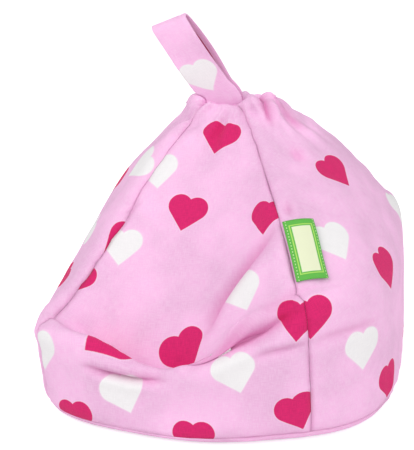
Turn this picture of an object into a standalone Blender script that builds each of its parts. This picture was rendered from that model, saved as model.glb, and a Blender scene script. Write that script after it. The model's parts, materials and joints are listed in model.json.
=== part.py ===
"""A tablet cushion stand: a bean-filled bag sewn from four wall panels and a base, with a ledge
pressed into its sloping front, a gathered top, a folded carrying strap and a tag in one seam.

Metres, +Z up. The origin is on the floor below the middle of the base. The front faces -Y.
"""

import math

import bmesh
import bpy
from mathutils import Euler, Vector
from mathutils.bvhtree import BVHTree

# Base and walls
HALF_WIDTH = 0.150
HALF_DEPTH = 0.152
SQUARENESS = 5.0
FRONT_RIGHT_SQUARENESS = 3.0
FRONT_RIGHT_SETBACK = 0.022
SETBACK_OVER = (0.0, 0.65)
BASE_SPREAD_RIGHT = 0.007
SPREAD_TOWARDS_FRONT = (0.4, -0.1)
BASE_TUCK_LEFT = 0.004
BASE_OUTSET = 0.004
LEAN_LEFT = 0.05
BASE_SEAM_HEIGHT = 0.006
FLATTENED_BELOW = 0.0005
WALL_BULGE = 0.001

# Where the four corner seams run, seen from above, with right at zero
FRONT_RIGHT_SEAM_DEG = -54.5
BACK_RIGHT_SEAM_DEG = 45.0
BACK_LEFT_SEAM_DEG = 135.0
FRONT_LEFT_SEAM_DEG = 225.0
SEAM_REACH_DEG = 6.0

# Where the same seams end round the slit in the top
FRONT_RIGHT_TOP_DEG = -85.0
BACK_RIGHT_TOP_DEG = 40.0
BACK_LEFT_TOP_DEG = 140.0
FRONT_LEFT_TOP_DEG = 220.0

# Heights of the wall's upper edge at the corner seams
FRONT_RIGHT_HEIGHT = 0.122
BACK_RIGHT_HEIGHT = 0.137
BACK_LEFT_HEIGHT = 0.124
FRONT_LEFT_HEIGHT = 0.077
CORNER_PINCH = 0.008
CORNER_PINCH_FROM = 0.6
CORNER_PINCH_FULL_AT = 0.92
EAVE_THICKNESS = 0.0125
EAVE_ROUNDING = 0.75

# Ledge across the front: a groove that is lowest left of the middle, behind a rolled lip
GROOVE_HEIGHT = 0.039
GROOVE_LOWEST_AT = -0.011
GROOVE_RISE_LEFT = 0.16
GROOVE_RISE_RIGHT = 0.80
LIP_RISE = 0.016
LIP_RISE_LEFT = 0.036
LIP_RISE_RIGHT = 0.004
LIP_THICKNESS = 0.025
LIP_SKEW = 0.09
LIP_GROWS_LEFT_OVER = (0.010, 0.075)
LIP_SINKS_RIGHT_OVER = 0.060
FOLD_EASE_DEG = 11.0

# Roof and gathered top
TOP_HEIGHT = 0.231
TOP_CENTRE = Vector((-0.005, 0.050))
TOP_TURN_DEG = 4.0
TOP_HALF_LENGTH = 0.047
TOP_HALF_DEPTH = 0.022
TOP_SQUARENESS = 2.2
TOP_LUMP_RISE = 0.013
TOP_LUMP_LEAST = 0.45
TOP_LUMP_STARTS_AT = 0.15
ROOF_CROWN = 0.0048
SEAM_FLATTENING = 0.15
GATHERS = 8
GATHER_DEPTH = 0.0022
GATHERS_OVER = (0.6, 1.0)

# Slit in the top that takes the ends of the strap
SLIT_LEFT_OF_TOP = 0.017
SLIT_CLEARANCE = 0.0008
SLIT_SQUARENESS = 4.0
SLIT_DEPTH = 0.004
SLIT_ABOVE_TOP = 0.002

# Flat pressed into the sloping front
SEAT_CENTRE = Vector((-0.0745, -0.035, 0.145))
SEAT_TILT_DEG = 50.0
SEAT_ROLL_DEG = 13.0
SEAT_HALF_WIDTH = 0.093
SEAT_HALF_HEIGHT = 0.121
SEAT_EDGE_SOFTNESS = 0.034
SEAT_EASES_WITHIN = 0.3

# Cloth
CLOTH_THICKNESS = 0.0012
SEAM_GAP = 0.0008
LAYER_GAP = 0.0004
LONE_FACE_DRAW = 1.4

# Folded strap
STRAP_WIDTH = 0.033
STRAP_THICKNESS = 0.0018
STRAP_LENGTH = 0.090
STRAP_LEAN_DEG = 35.0
STRAP_BENDS_OVER = (0.0, 0.24)
STRAP_FOLD_SKEW = 0.65
STRAP_HALF_OPENING = 0.0080
STRAP_OPENS_OVER = (0.05, 0.62)
STRAP_CLOSES_OVER = 0.06
STRAP_FOOT_DEPTH = 0.003

# Tag
TAG_LENGTH = 0.055
TAG_WIDTH = 0.0255
TAG_THICKNESS = 0.0012
TAG_SEAM_GAP = 0.0012
TAG_LIFT = 0.0008
TAG_TOP_HEIGHT = 0.161

# Fineness of the surface
COLUMNS_PER_SIDE = 8
SMOOTHING_LEVELS = 1
STRAP_STEPS = 32
STRAP_ROWS = 4
TAG_STEPS = 6

# Rows of the base and of the top's lumps: share of the way to their edges
BASE_ROWS = (0.75, 0.93)
LUMP_ROWS = (0.35, 0.75)

# Rows of the wall from the base seam up: share of the height and share of the fullness
WALL_ROWS = ((0.0, 0.0), (0.22, 0.8), (0.58, 1.0), (0.92, 1.0))

# Rows of the fold behind the lip: share of the lip's thickness and share of its rise
FOLD_ROWS = ((0.40, 1.05), (0.76, 0.2), (1.0, -0.6))

# Rows of the roof: share of the way from the fold to the top
ROOF_ROWS = (0.16, 0.38, 0.60, 0.82, 1.0)

SIDES = ("front", "right", "back", "left")
PINK = (0.84, 0.46, 0.72, 1.0)
CREASE_PINK = (0.80, 0.40, 0.66, 1.0)
TAG_GREEN = (0.16, 0.53, 0.10, 1.0)
BEAD_WHITE = (0.88, 0.87, 0.85, 1.0)


def clear_scene():
    for item in list(bpy.data.objects):
        bpy.data.objects.remove(item)


def mix(first, second, share):
    return first * (1 - share) + second * share


def smoothstep(start, end, value):
    share = min(1.0, max(0.0, (value - start) / (end - start)))
    return share * share * (3 - 2 * share)


def outline_point(half_width, half_depth, squareness, angle):
    """A point of a rounded rectangle. An angle of 45 degrees gives its corner."""
    across = math.cos(angle)
    along = math.sin(angle)
    size = (abs(across) ** squareness + abs(along) ** squareness) ** (1 / squareness)
    return Vector((half_width * across / size, half_depth * along / size, 0))


def wall_outline(half_width, half_depth, angle, lowness=0.0):
    """The bag's outline. Its front runs back towards the right, round a softer corner, and low down
    it spreads to the front right and tucks in at the left."""
    front_right = math.cos(angle) > 0 > math.sin(angle)
    squareness = FRONT_RIGHT_SQUARENESS if front_right else SQUARENESS
    point = outline_point(half_width, half_depth, squareness, angle)
    to_front = max(0.0, -point.y / half_depth)
    to_right = max(0.0, point.x / half_width)
    point.y += FRONT_RIGHT_SETBACK * to_front * smoothstep(*SETBACK_OVER, to_right)
    forward = smoothstep(*SPREAD_TOWARDS_FRONT, point.y / half_depth)
    to_left = max(0.0, -point.x / half_width)
    point.x += lowness * (BASE_SPREAD_RIGHT * to_right * forward + BASE_TUCK_LEFT * to_left)
    return point


def side_at(angle):
    degrees = (math.degrees(angle) - FRONT_RIGHT_SEAM_DEG + 1e-6) % 360
    if degrees < BACK_RIGHT_SEAM_DEG - FRONT_RIGHT_SEAM_DEG:
        return "right"
    if degrees < BACK_LEFT_SEAM_DEG - FRONT_RIGHT_SEAM_DEG:
        return "back"
    if degrees < FRONT_LEFT_SEAM_DEG - FRONT_RIGHT_SEAM_DEG:
        return "left"
    return "front"


def column_angles(seams):
    """The cage's columns, evenly spaced between each two seams."""
    angles = []
    for start, end in zip(seams, seams[1:] + [seams[0] + 360]):
        for column in range(COLUMNS_PER_SIDE):
            angles.append(math.radians(mix(start, end, column / COLUMNS_PER_SIDE)))
    return angles


def seam_share(angle):
    """One at the four corner seams and next to nothing one column away."""
    seams = (FRONT_RIGHT_SEAM_DEG, BACK_RIGHT_SEAM_DEG, BACK_LEFT_SEAM_DEG, FRONT_LEFT_SEAM_DEG)
    away = min(abs((math.degrees(angle) - seam + 180) % 360 - 180) for seam in seams)
    return math.exp(-((away / SEAM_REACH_DEG) ** 2))


def groove_height(x):
    offset = x - GROOVE_LOWEST_AT
    rise = GROOVE_RISE_RIGHT * offset if offset > 0 else -GROOVE_RISE_LEFT * offset
    return min(GROOVE_HEIGHT + rise, FRONT_RIGHT_HEIGHT - LIP_RISE_RIGHT)


def lip_rise(x):
    """How far the lip stands above the groove: least in the middle of the sag and most at the left."""
    if x < GROOVE_LOWEST_AT:
        return mix(LIP_RISE, LIP_RISE_LEFT, smoothstep(*LIP_GROWS_LEFT_OVER, GROOVE_LOWEST_AT - x))
    return mix(LIP_RISE, LIP_RISE_RIGHT, smoothstep(0.0, LIP_SINKS_RIGHT_OVER, x - GROOVE_LOWEST_AT))


def fold_share(angle):
    """One where the ledge is folded in, easing to nothing at the front corner seams."""
    if side_at(angle) != "front":
        return 0
    degrees = math.degrees(angle) % 360
    from_left = degrees - FRONT_LEFT_SEAM_DEG
    from_right = FRONT_RIGHT_SEAM_DEG + 360 - degrees
    return smoothstep(0, FOLD_EASE_DEG, min(from_left, from_right))


def wall_height(angle):
    """Height of the wall's upper edge: the lip in front, and a steady line round the other sides."""
    side = side_at(angle)
    degrees = math.degrees(angle) % 360
    if side == "front":
        x = wall_outline(HALF_WIDTH, HALF_DEPTH, angle).x
        corner = FRONT_LEFT_HEIGHT if x < 0 else FRONT_RIGHT_HEIGHT
        return mix(corner, groove_height(x) + lip_rise(x), fold_share(angle))
    turn = (degrees - FRONT_RIGHT_SEAM_DEG) % 360 + FRONT_RIGHT_SEAM_DEG
    if side == "right":
        share = smoothstep(FRONT_RIGHT_SEAM_DEG, BACK_RIGHT_SEAM_DEG, turn)
        return mix(FRONT_RIGHT_HEIGHT, BACK_RIGHT_HEIGHT, share)
    if side == "back":
        share = smoothstep(BACK_RIGHT_SEAM_DEG, BACK_LEFT_SEAM_DEG, turn)
        return mix(BACK_RIGHT_HEIGHT, BACK_LEFT_HEIGHT, share)
    share = smoothstep(BACK_LEFT_SEAM_DEG, FRONT_LEFT_SEAM_DEG, turn)
    return mix(BACK_LEFT_HEIGHT, FRONT_LEFT_HEIGHT, share)


def leaned(point):
    """The bag has settled a little to the left on its base."""
    return Vector((point.x - LEAN_LEFT * point.z, point.y, point.z))


def pinch_share(height_share):
    return smoothstep(CORNER_PINCH_FROM, CORNER_PINCH_FULL_AT, height_share)


def wall_point(angle, height_share, fullness):
    depth = HALF_DEPTH + BASE_OUTSET * (1 - fullness)
    full = wall_outline(HALF_WIDTH, depth, angle, 1 - height_share)
    bulge = WALL_BULGE * math.sin(math.pi * height_share) * (1 - seam_share(angle))
    pinch = CORNER_PINCH * seam_share(angle) * pinch_share(height_share)
    point = full + full.normalized() * (bulge + pinch)
    point.z = mix(BASE_SEAM_HEIGHT, wall_height(angle), height_share)
    return leaned(point)


def fold_point(angle, inward_share, rise_share):
    """Over the lip and down into the groove. Where there is no fold this is the start of the roof."""
    full = wall_outline(HALF_WIDTH, HALF_DEPTH, angle)
    folded = fold_share(angle)
    to_left = max(0.0, GROOVE_LOWEST_AT - full.x)
    thickness = mix(EAVE_THICKNESS, LIP_THICKNESS + LIP_SKEW * to_left, folded)
    pinch = CORNER_PINCH * seam_share(angle) * (1 - inward_share)
    point = full - full.normalized() * (thickness * inward_share - pinch)
    dipped = wall_height(angle) - lip_rise(full.x) * (1 - rise_share)
    rounded = wall_height(angle) + EAVE_ROUNDING * thickness * inward_share
    point.z = mix(rounded, dipped, folded)
    return leaned(point)


def turned_with_top(point):
    turn = Euler((0, 0, math.radians(TOP_TURN_DEG)))
    return turn.to_matrix() @ point


def top_edge_point(angle):
    """The outline of the blunt gathered top, pleated all round."""
    pleat = GATHER_DEPTH * math.cos(GATHERS * angle)
    point = outline_point(TOP_HALF_LENGTH + pleat, TOP_HALF_DEPTH + pleat, TOP_SQUARENESS, angle)
    return turned_with_top(point) + Vector((TOP_CENTRE.x, TOP_CENTRE.y, TOP_HEIGHT))


def roof_point(angle, top_angle, share):
    start = fold_point(angle, 1.0, 0.0)
    end = top_edge_point(top_angle)
    point = mix(start, end, share)
    outward = outline_point(1, 1, 2, angle)
    crown = ROOF_CROWN * math.sin(math.pi * share) * (1 - SEAM_FLATTENING * seam_share(angle))
    pleat = GATHER_DEPTH * math.cos(GATHERS * angle) * smoothstep(*GATHERS_OVER, share)
    return point + outward * (crown + pleat) + Vector((0, 0, crown))


def lump_point(angle, share):
    """From the top's outline over its lumps and down to the slit."""
    edge = top_edge_point(angle)
    slit = slit_point(angle, 0)
    lump = TOP_LUMP_RISE * math.sin(math.pi * min(1.0, share + TOP_LUMP_STARTS_AT))
    away = smoothstep(0, TOP_HALF_LENGTH, (edge - slit).length)
    point = mix(edge, slit, share)
    point.z = TOP_HEIGHT + lump * mix(TOP_LUMP_LEAST, 1.0, away)
    return point


def strap_foot():
    centre = Vector((TOP_CENTRE.x, TOP_CENTRE.y, TOP_HEIGHT + SLIT_ABOVE_TOP))
    return centre - turned_with_top(Vector((SLIT_LEFT_OF_TOP, 0, 0)))


def slit_point(angle, depth):
    """Round the strap's two layers, turned as they are."""
    half_length = STRAP_WIDTH / 2 + 2 * SLIT_CLEARANCE
    half_width = STRAP_THICKNESS + LAYER_GAP / 2 + SLIT_CLEARANCE
    point = outline_point(half_length, half_width, SLIT_SQUARENESS, angle)
    return turned_with_top(point) + strap_foot() - Vector((0, 0, depth))


def seat_axes():
    """Right, up the slope, and out of the seat."""
    tilt = math.radians(SEAT_TILT_DEG)
    flat_right = Vector((1, 0, 0))
    uphill = Vector((0, math.cos(tilt), math.sin(tilt)))
    outward = flat_right.cross(uphill)
    roll = math.radians(SEAT_ROLL_DEG)
    right = flat_right * math.cos(roll) - uphill * math.sin(roll)
    return right, outward.cross(right), outward


def pressed(point):
    """Pushes a point that stands proud of the seat back to it, softly past the seat's edges."""
    right, up, outward = seat_axes()
    offset = point - SEAT_CENTRE
    proud = offset.dot(outward)
    past_side = offset.dot(right) - SEAT_HALF_WIDTH
    past_top = offset.dot(up) - SEAT_HALF_HEIGHT
    below = -offset.dot(up) - SEAT_HALF_HEIGHT
    past = max(past_side, past_top)
    if proud <= 0 or below > 0:
        return point
    hold = 1 - smoothstep(-SEAT_EASES_WITHIN * SEAT_EDGE_SOFTNESS, SEAT_EDGE_SOFTNESS, past)
    return point - outward * proud * hold


def pressed_beside(angle, point):
    """The lip in front stands clear of the seat, so only the other walls give way to it."""
    return point if side_at(angle) == "front" else pressed(point)


def bag_rows():
    """Rings of cage points from the middle of the base to the bottom of the slit."""
    angles = column_angles(
        [FRONT_RIGHT_SEAM_DEG, BACK_RIGHT_SEAM_DEG, BACK_LEFT_SEAM_DEG, FRONT_LEFT_SEAM_DEG]
    )
    top_angles = column_angles(
        [FRONT_RIGHT_TOP_DEG, BACK_RIGHT_TOP_DEG, BACK_LEFT_TOP_DEG, FRONT_LEFT_TOP_DEG]
    )
    rows = []
    for share in BASE_ROWS:
        width = HALF_WIDTH * share
        depth = (HALF_DEPTH + BASE_OUTSET) * share
        rows.append([wall_outline(width, depth, angle, share) for angle in angles])
    for height_share, fullness in WALL_ROWS:
        row = [wall_point(angle, height_share, fullness) for angle in angles]
        rows.append([pressed_beside(angle, point) for angle, point in zip(angles, row)])
    for inward_share, rise_share in FOLD_ROWS:
        row = [fold_point(angle, inward_share, rise_share) for angle in angles]
        rows.append([pressed_beside(angle, point) for angle, point in zip(angles, row)])
    for share in ROOF_ROWS:
        rows.append([pressed(roof_point(low, high, share)) for low, high in zip(angles, top_angles)])
    for share in LUMP_ROWS:
        rows.append([pressed(lump_point(angle, share)) for angle in top_angles])
    rows.append([slit_point(angle, 0) for angle in top_angles])
    rows.append([slit_point(angle, SLIT_DEPTH) for angle in top_angles])
    return rows, angles


def bag_surface():
    """The bag's outer surface, open at the slit, as one smooth mesh. Each face's material index says
    which panel it belongs to: 0 is the base, and 1 to 4 are SIDES in order."""
    rows, angles = bag_rows()
    cage = bmesh.new()
    rings = [[cage.verts.new(point) for point in row] for row in rows]
    cage.faces.new(reversed(rings[0]))
    for index, (lower, upper) in enumerate(zip(rings, rings[1:])):
        for column, angle in enumerate(angles):
            after = (column + 1) % len(angles)
            face = cage.faces.new((lower[column], lower[after], upper[after], upper[column]))
            face.material_index = 0 if index < len(BASE_ROWS) else 1 + SIDES.index(side_at(angle))
    mesh = bpy.data.meshes.new("bag_cage")
    cage.to_mesh(mesh)
    cage.free()
    cage_object = bpy.data.objects.new("bag_cage", mesh)
    bpy.context.scene.collection.objects.link(cage_object)
    smooth = cage_object.modifiers.new("Smooth", "SUBSURF")
    smooth.levels = SMOOTHING_LEVELS
    smooth.render_levels = SMOOTHING_LEVELS
    graph = bpy.context.evaluated_depsgraph_get()
    surface = bpy.data.meshes.new_from_object(cage_object.evaluated_get(graph))
    bpy.data.objects.remove(cage_object)
    # Cut into triangles once, so that the layers made from it all bend along the same diagonals.
    # The part of the base that all but touches the floor lies flat on it.
    work = bmesh.new()
    work.from_mesh(surface)
    bmesh.ops.triangulate(work, faces=work.faces)
    for vert in work.verts:
        if vert.co.z < FLATTENED_BELOW:
            vert.co.z = 0
    work.to_mesh(surface)
    work.free()
    return surface


def make_material(name, colour, roughness):
    material = bpy.data.materials.new(name)
    material.use_nodes = True
    shader = material.node_tree.nodes["Principled BSDF"]
    shader.inputs["Base Color"].default_value = colour
    shader.inputs["Roughness"].default_value = roughness
    shader.inputs["Metallic"].default_value = 0.0
    return material


def add_object(name, mesh, colour, roughness, collection):
    mesh.materials.clear()
    mesh.materials.append(make_material(name, colour, roughness))
    for face in mesh.polygons:
        face.material_index = 0
        face.use_smooth = True
    mesh.set_sharp_from_angle(angle=math.radians(50))
    item = bpy.data.objects.new(name, mesh)
    collection.objects.link(item)
    return item


def cloth_panel(name, surface, panel_index):
    """One panel's faces, drawn in from its seams and thickened inwards."""
    work = bmesh.new()
    work.from_mesh(surface)
    work.normal_update()
    normals = {vert.index: vert.normal.copy() for vert in work.verts}
    label = work.verts.layers.int.new("index")
    for vert in work.verts:
        vert[label] = vert.index
    others = [face for face in work.faces if face.material_index != panel_index]
    bmesh.ops.delete(work, geom=others, context="FACES")
    draw_in(work)
    outer_faces = list(work.faces)
    outer = list(work.verts)
    inner = {}
    for vert in outer:
        inner[vert] = work.verts.new(vert.co - normals[vert[label]] * CLOTH_THICKNESS)
    for face in outer_faces:
        border = [loop for loop in face.loops if loop.edge.is_boundary]
        for loop in border:
            start = loop.vert
            end = loop.link_loop_next.vert
            work.faces.new((end, start, inner[start], inner[end]))
        work.faces.new([inner[vert] for vert in reversed(face.verts)])
    mesh = bpy.data.meshes.new(name)
    work.to_mesh(mesh)
    work.free()
    return mesh


def draw_in(work):
    """Moves the border towards the panel's own faces, by half of the gap between two panels."""
    moves = {}
    for vert in work.verts:
        if not vert.is_boundary:
            continue
        centres = [face.calc_center_median() for face in vert.link_faces]
        towards = sum(centres, Vector()) / len(centres) - vert.co
        moves[vert] = towards.normalized() * SEAM_GAP / 2 * (LONE_FACE_DRAW if len(centres) == 1 else 1)
    for vert, move in moves.items():
        vert.co += move


def filling_mesh(surface):
    """Everything inside the cloth, closed below the slit."""
    work = bmesh.new()
    work.from_mesh(surface)
    work.normal_update()
    inset = CLOTH_THICKNESS + LAYER_GAP
    moved = {vert: vert.co - vert.normal * inset for vert in work.verts}
    for vert, place in moved.items():
        vert.co = place
    border = [edge for edge in work.edges if edge.is_boundary]
    bmesh.ops.holes_fill(work, edges=border, sides=0)
    mesh = bpy.data.meshes.new("bean_filling")
    work.to_mesh(mesh)
    work.free()
    return mesh


def strap_path(share):
    """Up the front layer, over the fold and down the back layer, as height along and depth across."""
    layer = STRAP_THICKNESS / 2 + LAYER_GAP / 2
    turn = math.tau * share
    height = (1 - math.cos(turn)) / 2
    opened = smoothstep(*STRAP_OPENS_OVER, height) * math.sqrt(abs(math.sin(turn)))
    depth = -math.copysign(layer + STRAP_HALF_OPENING * opened, 0.5 - share)
    blend = smoothstep(0.0, STRAP_CLOSES_OVER, abs(share - 0.5))
    return height * (STRAP_LENGTH + STRAP_FOOT_DEPTH) - STRAP_FOOT_DEPTH, depth * blend


def handle_mesh():
    """A folded ribbon, thickened outwards from its inner face."""
    lean = math.radians(STRAP_LEAN_DEG)
    sideways = turned_with_top(Vector((1, 0, 0)))
    depth_way = turned_with_top(Vector((0, 1, 0)))
    foot = strap_foot()
    work = bmesh.new()
    lines = []
    for step in range(STRAP_STEPS + 1):
        along, depth = strap_path(step / STRAP_STEPS)
        bend = lean * smoothstep(*STRAP_BENDS_OVER, along / STRAP_LENGTH)
        axis = sideways * -math.sin(bend) + Vector((0, 0, math.cos(bend)))
        skew = bend * STRAP_FOLD_SKEW
        across = sideways * math.cos(skew) + Vector((0, 0, math.sin(skew)))
        centre = foot + axis * along + depth_way * depth
        line = []
        for row in range(STRAP_ROWS + 1):
            line.append(work.verts.new(centre + across * STRAP_WIDTH * (row / STRAP_ROWS - 0.5)))
        lines.append(line)
    for first, second in zip(lines, lines[1:]):
        for row in range(STRAP_ROWS):
            work.faces.new((first[row], first[row + 1], second[row + 1], second[row]))
    mesh = bpy.data.meshes.new("handle_loop")
    work.to_mesh(mesh)
    work.free()
    return mesh


def seam_line(surface):
    """Points of the front right seam from the base to the top."""
    work = bmesh.new()
    work.from_mesh(surface)
    front = 1 + SIDES.index("front")
    right = 1 + SIDES.index("right")
    points = []
    for vert in work.verts:
        kinds = {face.material_index for face in vert.link_faces}
        if front in kinds and right in kinds:
            points.append(vert.co.copy())
    work.free()
    return sorted(points, key=lambda point: point.z)


def point_on_line(points, height):
    for lower, upper in zip(points, points[1:]):
        if lower.z <= height <= upper.z:
            return mix(lower, upper, (height - lower.z) / (upper.z - lower.z))
    return points[-1]


def tag_mesh(surface):
    """A tag that hangs from the front right seam and lies on the right panel."""
    line = seam_line(surface)
    work = bmesh.new()
    work.from_mesh(surface)
    tree = BVHTree.FromBMesh(work)
    work.free()
    top = point_on_line(line, TAG_TOP_HEIGHT)
    lower = point_on_line(line, TAG_TOP_HEIGHT - TAG_LENGTH / 2)
    downwards = (lower - top).normalized()
    outward = tree.find_nearest(lower + Vector((TAG_WIDTH / 2, TAG_WIDTH / 2, 0)))[1]
    across = outward.cross(downwards).normalized()
    outward = downwards.cross(across)
    work = bmesh.new()
    rows = []
    for step in range(TAG_STEPS + 1):
        row = []
        for column in range(TAG_STEPS + 1):
            sideways = TAG_SEAM_GAP + TAG_WIDTH * column / TAG_STEPS
            place = top + downwards * TAG_LENGTH * step / TAG_STEPS + across * sideways
            hit = tree.ray_cast(place + outward * TAG_WIDTH, -outward)[0]
            row.append(work.verts.new(hit + outward * TAG_LIFT))
        rows.append(row)
    for first, second in zip(rows, rows[1:]):
        for column in range(TAG_STEPS):
            work.faces.new((first[column], second[column], second[column + 1], first[column + 1]))
    mesh = bpy.data.meshes.new("label_tag")
    work.to_mesh(mesh)
    work.free()
    return mesh


def thicken(item, thickness, offset):
    solidify = item.modifiers.new("Thickness", "SOLIDIFY")
    solidify.thickness = thickness
    solidify.offset = offset


def main():
    clear_scene()
    collection = bpy.data.collections.new("tablet_cushion_stand")
    bpy.context.scene.collection.children.link(collection)
    surface = bag_surface()
    add_object("bean_filling", filling_mesh(surface), BEAD_WHITE, 0.9, collection)
    names = ("base_panel", "front_panel", "right_side_panel", "back_panel", "left_side_panel")
    for index, name in enumerate(names):
        add_object(name, cloth_panel(name, surface, index), PINK, 0.85, collection)
    handle = add_object("handle_loop", handle_mesh(), CREASE_PINK, 0.85, collection)
    thicken(handle, STRAP_THICKNESS, 0)
    tag = add_object("label_tag", tag_mesh(surface), TAG_GREEN, 0.7, collection)
    thicken(tag, TAG_THICKNESS, 1)


if __name__ == "__main__":
    main()
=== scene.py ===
"""Looks of the tablet cushion stand: its sewn bag, bead filling, carrying strap, tag and studio.

Everything is in metres. X runs to the right seen from the front, the front faces -Y, and Z is up.
"""

import json
import math

import bmesh
import bpy
import numpy as np
from bpy.props import FloatProperty, FloatVectorProperty, IntProperty, PointerProperty
from mathutils import Euler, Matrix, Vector, noise
from mathutils.bvhtree import BVHTree
from mathutils.kdtree import KDTree

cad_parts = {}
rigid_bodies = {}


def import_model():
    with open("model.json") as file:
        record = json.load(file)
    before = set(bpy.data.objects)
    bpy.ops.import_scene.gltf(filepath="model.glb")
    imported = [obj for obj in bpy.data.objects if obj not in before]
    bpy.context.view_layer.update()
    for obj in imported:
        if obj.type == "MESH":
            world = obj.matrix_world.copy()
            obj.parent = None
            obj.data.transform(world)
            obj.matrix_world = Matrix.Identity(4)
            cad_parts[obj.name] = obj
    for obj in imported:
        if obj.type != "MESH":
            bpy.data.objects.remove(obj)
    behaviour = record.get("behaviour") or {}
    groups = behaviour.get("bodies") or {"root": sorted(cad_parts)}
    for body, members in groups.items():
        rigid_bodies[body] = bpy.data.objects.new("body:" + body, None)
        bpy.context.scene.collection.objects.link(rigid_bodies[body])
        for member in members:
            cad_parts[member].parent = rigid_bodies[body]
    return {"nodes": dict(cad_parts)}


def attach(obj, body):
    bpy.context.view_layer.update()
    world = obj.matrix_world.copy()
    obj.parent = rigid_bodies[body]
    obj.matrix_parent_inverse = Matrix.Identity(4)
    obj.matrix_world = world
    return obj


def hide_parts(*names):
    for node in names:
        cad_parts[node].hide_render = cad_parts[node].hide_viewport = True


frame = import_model()

bl_info = {
    "name": "Tablet Cushion Stand",
    "version": (1, 0, 0),
    "blender": (4, 5, 0),
    "location": "3D View > Sidebar > Cushion",
    "description": "Makes a heart-print bean cushion with a ledge, a gathered top and a strap",
    "category": "Object",
}

# Each panel of the bag, and the middle of its wall, where the cloth's grain stands upright
PANELS = {
    "base_panel": (0.0, 0.0, 0.0),
    "front_panel": (0.02, -0.147, 0.03),
    "right_side_panel": (0.148, 0.0, 0.05),
    "back_panel": (0.0, 0.150, 0.06),
    "left_side_panel": (-0.152, 0.0, 0.05),
}
PANEL_NAMES = tuple(PANELS)
SLIT_SLOT = len(PANEL_NAMES)

WHITE = 0.0
HOT = 1.0

# The heart in units of the height from its tip to its cleft: its lobes, width and middle
LOBE_ACROSS = 0.25
LOBE_UP = 0.75
LOBE_RADIUS = 0.35355
HEART_WIDE = 1.207
HEART_MIDDLE = 0.55

# Hearts that the print shows at set places: panel, tone, place, the way its tip points, and how
# far its middle is from that place against that way
PLACED_HEARTS = (
    ("right_side_panel", HOT, (0.0866, 0.0198, 0.1884), (0.0143, -0.0038, -0.0111), 0.0),
    ("right_side_panel", WHITE, (0.1350, 0.0880, 0.1370), (0.0050, -0.0046, -0.0116), 0.0),
    ("right_side_panel", WHITE, (0.1010, -0.0570, 0.1533), (0.0137, -0.0091, -0.0141), 0.0),
    ("right_side_panel", HOT, (0.1408, -0.0252, 0.1215), (0.0044, -0.0006, -0.0174), 0.0),
    ("front_panel", HOT, (0.0425, -0.0514, 0.1662), (0.0, -0.0123, -0.0114), 0.0),
    ("front_panel", WHITE, (0.0366, -0.0966, 0.1152), (0.0088, -0.0169, -0.0116), 0.0),
    ("front_panel", HOT, (0.0860, -0.1193, 0.1085), (-0.0012, -0.0028, -0.0186), 0.0),
    ("right_side_panel", HOT, (0.0958, -0.1169, 0.1098), (0.0015, -0.0007, -0.0166), 0.0),
    ("front_panel", WHITE, (0.0411, -0.1381, 0.0646), (0.0054, -0.0012, -0.0162), 0.0),
    ("right_side_panel", WHITE, (0.1326, -0.0826, 0.0725), (0.0011, -0.0012, -0.0181), 0.0),
    ("right_side_panel", HOT, (0.1509, -0.0471, 0.0292), (0.0, 0.0, -0.0180), 0.0),
    ("right_side_panel", HOT, (0.1490, 0.0880, 0.0700), (0.0, 0.0, -0.0180), 0.0),
    ("front_panel", HOT, (0.0886, -0.1234, 0.0307), (0.0054, 0.0040, -0.0195), 0.0),
    ("front_panel", HOT, (0.0110, -0.1520, 0.0070), (0.0010, 0.0, -0.0180), 0.0),
    ("front_panel", HOT, (-0.0080, -0.1120, 0.0640), (0.0100, -0.0200, -0.0050), 0.0),
    ("front_panel", WHITE, (-0.1265, -0.1330, 0.0580), (0.0060, 0.0000, -0.0200), 0.0),
    ("front_panel", HOT, (-0.0823, -0.1466, 0.0717), (-0.0120, 0.0, -0.0120), 0.0169),
    ("front_panel", WHITE, (-0.0482, -0.1498, 0.0390), (0.0065, -0.0024, -0.0159), 0.0),
    ("front_panel", HOT, (-0.0917, -0.1495, 0.0085), (0.0030, 0.0, -0.0180), 0.0),
)

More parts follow.
